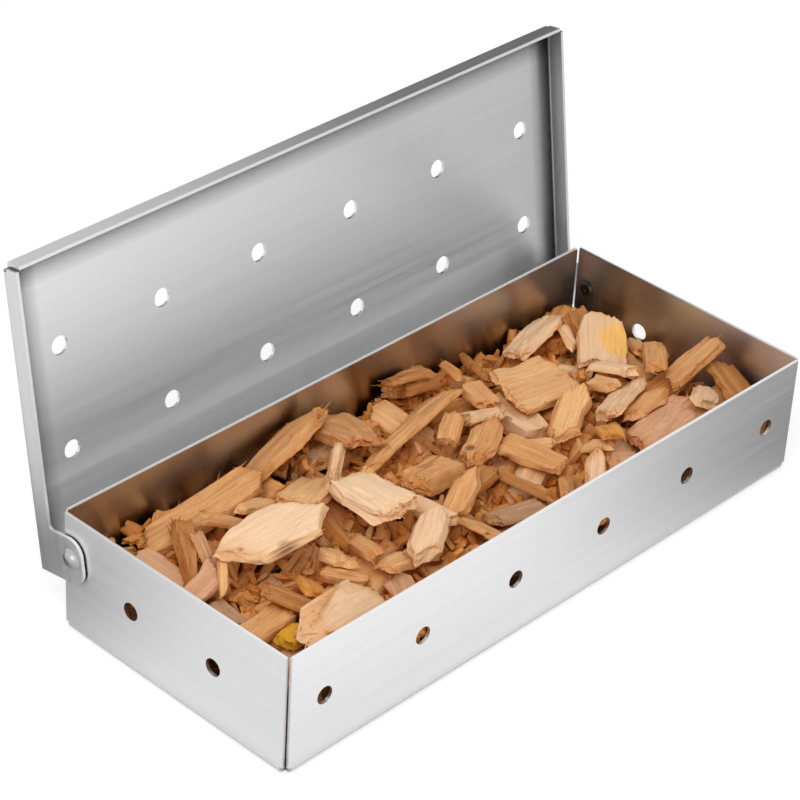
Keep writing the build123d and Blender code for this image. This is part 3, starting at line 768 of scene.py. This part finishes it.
# The chips of each slot become two pieces; the shaded ones need fewer fibres
fine_pitch = (0.0008, 0.00034, 0.0004)
coarse_pitch = (0.0016, 0.0007, 0.0009)
slots = {entry["node"]: entry["material_slot"] for entry in frame["record"]["subparts"]}
groups = {}
for node_name in sorted(frame["nodes"]):
    if "chip" in node_name:
        groups.setdefault(slots[node_name], []).append(node_name)
for slot_name, node_names in groups.items():
    pitch = coarse_pitch if slot_name == "wood_shade" else fine_pitch
    middle = len(node_names) // 2
    for half_number, half_names in enumerate((node_names[:middle], node_names[middle:]), start=1):
        solids = [(name, solid) for name in half_names for solid in chip_solids(frame["nodes"][name])]
        piece = chip_piece(f"{slot_name}_chips_{half_number}", solids, pitch, 5)
        scatter(
            piece, forms=splinters, density=130000.0, smallest=0.0012, largest=0.0045, lean=0.6,
            keep_mesh=True, material=chip_wood, seed=half_number,
        )
        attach(piece, "box")
        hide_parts(*half_names)

# Crumbs: broken bits and flakes of the same wood, which fill the hollows between the chips.
# They come loose as the wood is split and are poured in with it, so nothing holds them.
crumb_tones = ("shade", "shade", "orange", "honey", "tan", "shade")
crumb_pitch = (0.0019, 0.0010, 0.0010)

# Half the length, breadth and thickness of a crumb, each drawn from a span
crumb_half_spans = ((0.003, 0.0052), (0.0014, 0.0024), (0.0005, 0.0011))
anywhere = (-1, 1)
box_corners = np.array([[x, y, z] for x in (-1, 1) for y in (-1, 1) for z in (-1, 1)])
crumb_shapes = bpy.data.collections.new("crumbs")
for number, tone_name in enumerate(crumb_tones):
    form_name = f"crumb {number}"
    dice = np.random.default_rng(70 + number)
    half = np.array([dice.uniform(*span) for span in crumb_half_spans])
    corners = box_corners * half
    skew = dice.uniform(-0.3, 0.3)
    corners[:, 0] += skew * corners[:, 1]
    slant = np.array([1, -skew, 0]) / math.hypot(1, skew)
    normals = np.array([slant, -slant, [0, 1, 0], [0, -1, 0], [0, 0, 1], [0, 0, -1]])
    reaches = (normals @ corners.T).max(axis=1)
    areas = np.repeat([half[1] * half[2], half[0] * half[2], half[0] * half[1]], 2)
    chip_tones[form_name] = tone_name
    solid = corners, normals, reaches, areas
    crumb = chip_piece(form_name, [(form_name, solid)], crumb_pitch, 3, anywhere)
    bpy.context.scene.collection.objects.unlink(crumb)
    crumb_shapes.objects.link(crumb)

# The crumbs lie on a wavy ground, which dips at the right end, and each half is a piece
ground_reach, ground_half_width, ground_level = 0.107, 0.0425, 0.0205
ground_wave, ground_wave_size = 0.0030, 0.021
dip_depth, dip_start, dip_width = 0.007, 0.086, 0.014
columns, rows = 23, 19
for side, start, end, seed in (("left", -ground_reach, 0, 4), ("right", 0, ground_reach, 5)):
    x_line = np.linspace(start, end, columns)
    y_line = np.linspace(-ground_half_width, ground_half_width, rows)
    points = np.array([(x, y, ground_level) for y in y_line for x in x_line])
    wave = ground_wave * value_noise(points / ground_wave_size, 8)
    points[:, 2] += wave - dip_depth * step_up(points[:, 0], dip_start, dip_width)
    corner_of = np.arange(rows * columns).reshape(rows, columns)
    ring = corner_of[:-1, :-1], corner_of[:-1, 1:], corner_of[1:, 1:], corner_of[1:, :-1]
    ground = bpy.data.meshes.new("crumb ground")
    ground.from_pydata(points.tolist(), [], np.stack([part.ravel() for part in ring], 1).tolist())
    runs = np.random.default_rng(seed).normal(size=(len(points), 3))
    add_layer(ground, "bristle", "FLOAT", np.ones(len(points)))
    add_layer(ground, "run", "FLOAT_VECTOR", runs)
    crumbs = bpy.data.objects.new(f"wood_crumbs_{side}", ground)
    bpy.context.scene.collection.objects.link(crumbs)
    scatter(
        crumbs, forms=crumb_shapes, density=65000.0, smallest=0.7, largest=1.3, lean=1.2,
        keep_mesh=False, material=chip_wood, seed=seed,
    )
    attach(crumbs, "box")
for collection in (splinters, crumb_shapes):
    for form in list(collection.objects):
        bpy.data.objects.remove(form)
    bpy.data.collections.remove(collection)

# Studio: a plain white floor, two large soft lamps at the upper left, and a white surround.
# The steel mirrors no lamp: it mirrors the surround, the floor and grey cards that only it sees.
floor_reach, floor_level, floor_glow = 6, -0.0002, 0.55
surround_light = 0.72
lamp_target = Vector((0, 0, 0.03))


def bare_tree(owner):
    """The emptied shader tree of a material or a world."""
    owner.use_nodes = True
    owner.node_tree.nodes.clear()
    return owner.node_tree


def level_corners(x_span, y_span, level):
    """Corners of a level oblong."""
    (left, right), (front, back) = x_span, y_span
    return [(left, front, level), (right, front, level), (right, back, level), (left, back, level)]


def flat_sheet(name, corners, material):
    """A flat sheet with four corners."""
    mesh = bpy.data.meshes.new(name)
    mesh.from_pydata(corners, [], [(0, 1, 2, 3)])
    mesh.materials.append(material)
    sheet = bpy.data.objects.new(name, mesh)
    bpy.context.scene.collection.objects.link(sheet)
    return sheet


def seen_directly(tree):
    """1 on rays from the camera or the metal, and 0 on the rays that light the object."""
    rays = add_node(tree, "ShaderNodeLightPath").outputs
    return reckon(tree, "MAXIMUM", rays["Is Camera Ray"], rays["Is Glossy Ray"])


paper = bpy.data.materials.new("white paper")
tree = bare_tree(paper)
matt = add_node(tree, "ShaderNodeBsdfDiffuse", Color=(0.5, 0.5, 0.5, 1))
strength = reckon(tree, "MULTIPLY", seen_directly(tree), floor_glow)
glow = add_node(tree, "ShaderNodeEmission", Strength=strength)
joined = add_node(tree, "ShaderNodeAddShader")
for socket, shader in zip(joined.inputs, (matt, glow)):
    connect(tree, socket, shader.outputs[0])
add_node(tree, "ShaderNodeOutputMaterial", Surface=joined.outputs[0])
floor_span = (-floor_reach, floor_reach)
floor = flat_sheet("floor", level_corners(floor_span, floor_span, floor_level), paper)

world = bpy.data.worlds.new("white surround")
bpy.context.scene.world = world
tree = bare_tree(world)
strength = remap(tree, seen_directly(tree), 0, 1, surround_light, 1)
sky = add_node(tree, "ShaderNodeBackground", Color=(1, 1, 1, 1), Strength=strength)
add_node(tree, "ShaderNodeOutputWorld", Surface=sky.outputs[0])


def soft_lamp(name, place, size, power):
    """A square area lamp aimed at the box, which the metal doesn't mirror."""
    lamp = bpy.data.lights.new(name, "AREA")
    lamp.size = size
    lamp.energy = power
    holder = bpy.data.objects.new(name, lamp)
    holder.location = place
    holder.rotation_mode = "QUATERNION"
    holder.rotation_quaternion = (lamp_target - Vector(place)).to_track_quat("-Z", "Y")
    holder.visible_glossy = False
    bpy.context.scene.collection.objects.link(holder)


soft_lamp("key", (-0.7, -0.3, 1.1), 0.8, 5.2)
soft_lamp("fill", (-0.8, -0.8, 0.95), 1.1, 5.0)


def grey_card(name, corners, shades, axis, span, one_way=False):
    """A card seen only in the metal, shaded along an axis, and clear from behind if one-way."""
    material = bpy.data.materials.new(name)
    tree = bare_tree(material)
    place = add_node(tree, "ShaderNodeTexCoord").outputs["Object"]
    along = add_node(tree, "ShaderNodeSeparateXYZ", Vector=place).outputs[axis]
    strength = remap(tree, along, *span, *shades, interpolation_type="SMOOTHSTEP")
    surface = add_node(tree, "ShaderNodeEmission", Strength=strength).outputs[0]
    if one_way:
        behind = add_node(tree, "ShaderNodeNewGeometry").outputs["Backfacing"]
        clear = add_node(tree, "ShaderNodeBsdfTransparent").outputs[0]
        either = add_node(tree, "ShaderNodeMixShader")
        for socket, value in zip(either.inputs, (behind, surface, clear)):
            connect(tree, socket, value)
        surface = either.outputs[0]
    add_node(tree, "ShaderNodeOutputMaterial", Surface=surface)
    card = flat_sheet(name, corners, material)
    for kind in ("camera", "diffuse", "transmission", "shadow", "volume_scatter"):
        setattr(card, f"visible_{kind}", False)


# The cards on the floor stop just short of the tray's walls and reach far out from them
card_level, over_tray_level = 0.0002, 0.0412
card_left, card_front, card_right = -0.111, -0.047, 0.112
near_front, near_left = -0.125, -0.158
card_far = 1.5
grey_card(
    "card in front", level_corners((card_left, card_far), (near_front, card_front), card_level),
    (0.95, 0.15), "X", (0.0, 0.15),
)
grey_card(
    "card farther in front", level_corners((card_left, card_far), (-card_far, near_front), card_level),
    (1.7, 0.6), "X", (0.05, 0.34),
)
grey_card(
    "card at the right", level_corners((card_right, card_far), (card_front, 0.3), card_level),
    (0.55, 0.4), "X", (0.11, 0.4),
)
grey_card(
    "card at the left", level_corners((near_left, -card_right), (-0.3, card_far), card_level),
    (0.9, 0.12), "Y", (0.0, 0.09),
)
grey_card(
    "card far left", level_corners((-card_far, near_left), (-0.3, card_far), card_level),
    (0.9, 0.9), "Y", (0.0, 0.3),
)
grey_card(
    "card behind",
    [(0.05, 0.5, card_level), (1.6, 0.5, card_level), (1.6, 0.5, 1.1), (0.05, 0.5, 1.1)],
    (0.74, 0.0), "X", (0.25, 0.48),
)
grey_card(
    "bright card at the left",
    [(-0.9, -0.35, 0.08), (-0.9, 0.15, 0.08), (-0.9, 0.15, 0.58), (-0.9, -0.35, 0.58)],
    (2.0, 2.0), "Y", (0.0, 1.0),
)
grey_card(
    "card over the tray", level_corners((card_left, -card_left), (-0.046, 0.046), over_tray_level),
    (0.82, 0.0), "Y", (-0.046, 0.036),
)
grey_card(
    "flag by the right flange",
    [(0.104, 0.0, 0.042), (0.104, 0.0565, 0.042), (0.104, 0.0720, 0.150), (0.104, 0.0, 0.150)],
    (0.06, 0.42), "Z", (0.115, 0.085), one_way=True,
)

# Camera: it looks down at the box from the front left, at the photograph's own angle and with
# its slight roll. Its bearing, distance and lens were worked out from the box's corners.
azimuth, elevation, roll = 0.83499, 0.58425, 0.0586
camera_target = Vector((0.023903, 0.042072, 0.020))
camera_distance = 0.930128
nearest_seen = 0.05
lens = bpy.data.cameras.new("camera")
lens.sensor_width = 36
lens.lens = 133.65
lens.clip_start = nearest_seen
ahead, aside = math.cos(azimuth) * math.cos(elevation), math.sin(azimuth) * math.cos(elevation)
sight = Vector((aside, ahead, -math.sin(elevation)))
right = Vector((math.cos(azimuth), -math.sin(azimuth), 0))
up = right.cross(sight)
right_rolled = right * math.cos(roll) + up * math.sin(roll)
up_rolled = up * math.cos(roll) - right * math.sin(roll)
camera = bpy.data.objects.new("camera", lens)
camera.rotation_mode = "QUATERNION"
camera.rotation_quaternion = Matrix((right_rolled, up_rolled, -sight)).transposed().to_quaternion()
camera.location = camera_target - sight * camera_distance
bpy.context.scene.collection.objects.link(camera)
bpy.context.scene.camera = camera
bpy.context.scene.view_settings.view_transform = "Standard"
